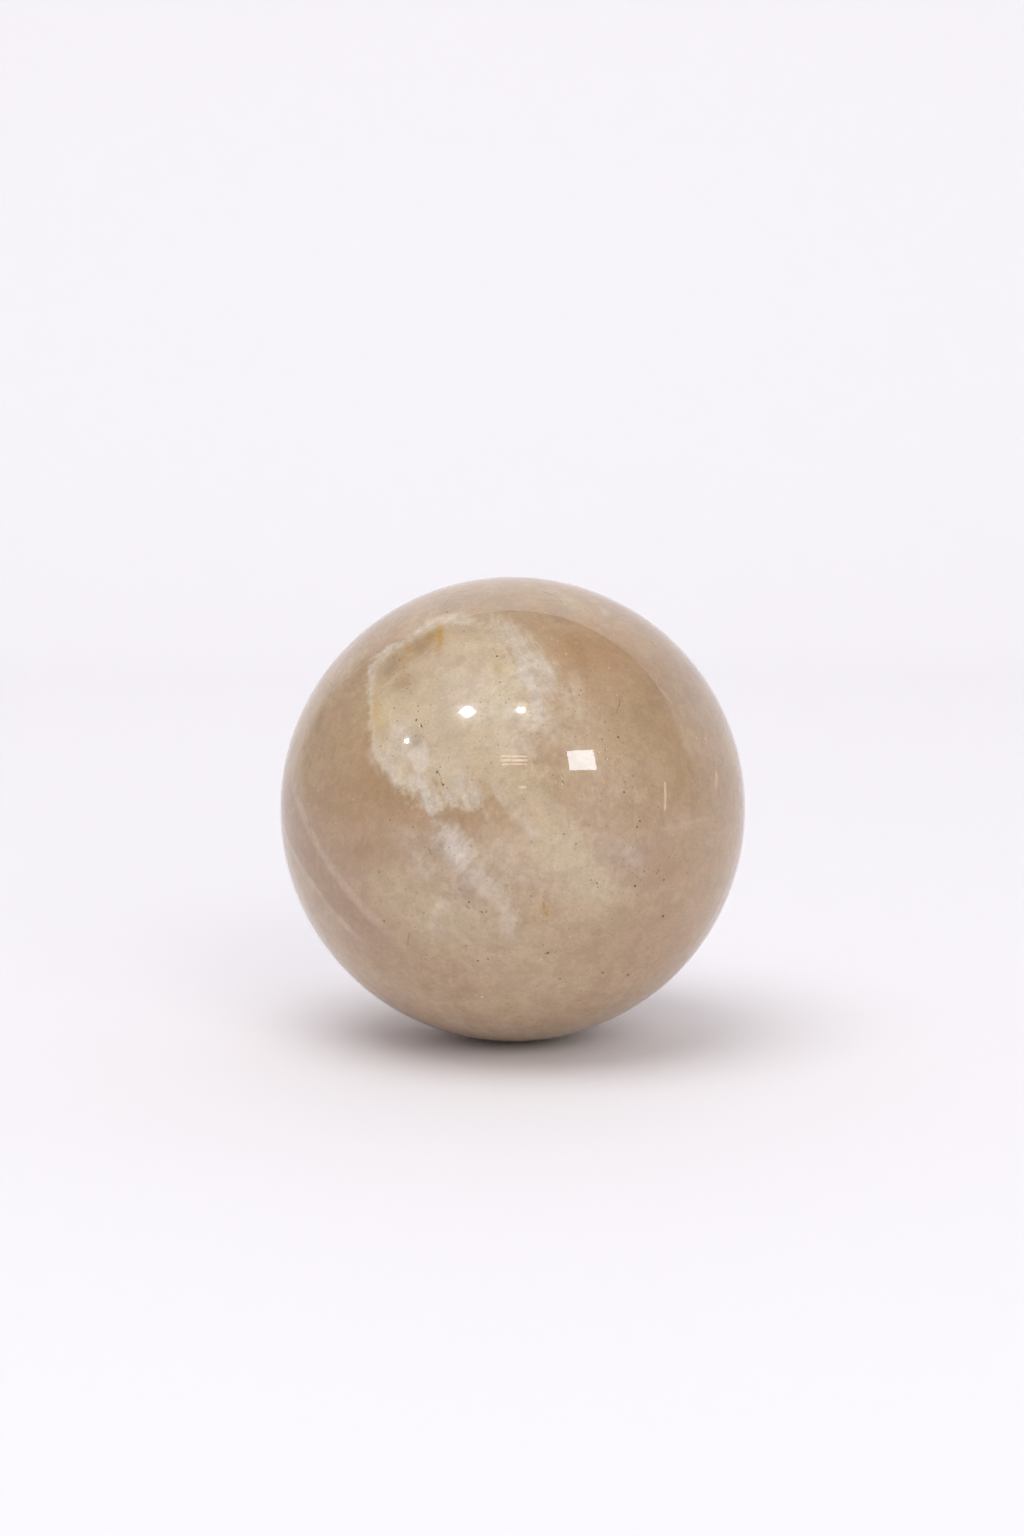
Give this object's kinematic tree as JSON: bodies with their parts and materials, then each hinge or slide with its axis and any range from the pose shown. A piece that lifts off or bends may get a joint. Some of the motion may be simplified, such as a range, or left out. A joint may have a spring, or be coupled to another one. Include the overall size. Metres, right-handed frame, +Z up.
{
  "type": "gemstone sphere",
  "caption": "Solid polished ball of cloudy beige feldspar, kept on a desk as an ornament or palm stone and set in a ring stand.",
  "frame": {"origin": "centre of the ball", "axes": "+Z up, away from the seat; the pictured face looks along -Y"},
  "size_m": [0.055, 0.055, 0.055],
  "materials": {
    "stone": "polished"
  },
  "bodies": {
    "root": {"stone_ball": "stone"}
  },
  "joints": []
}
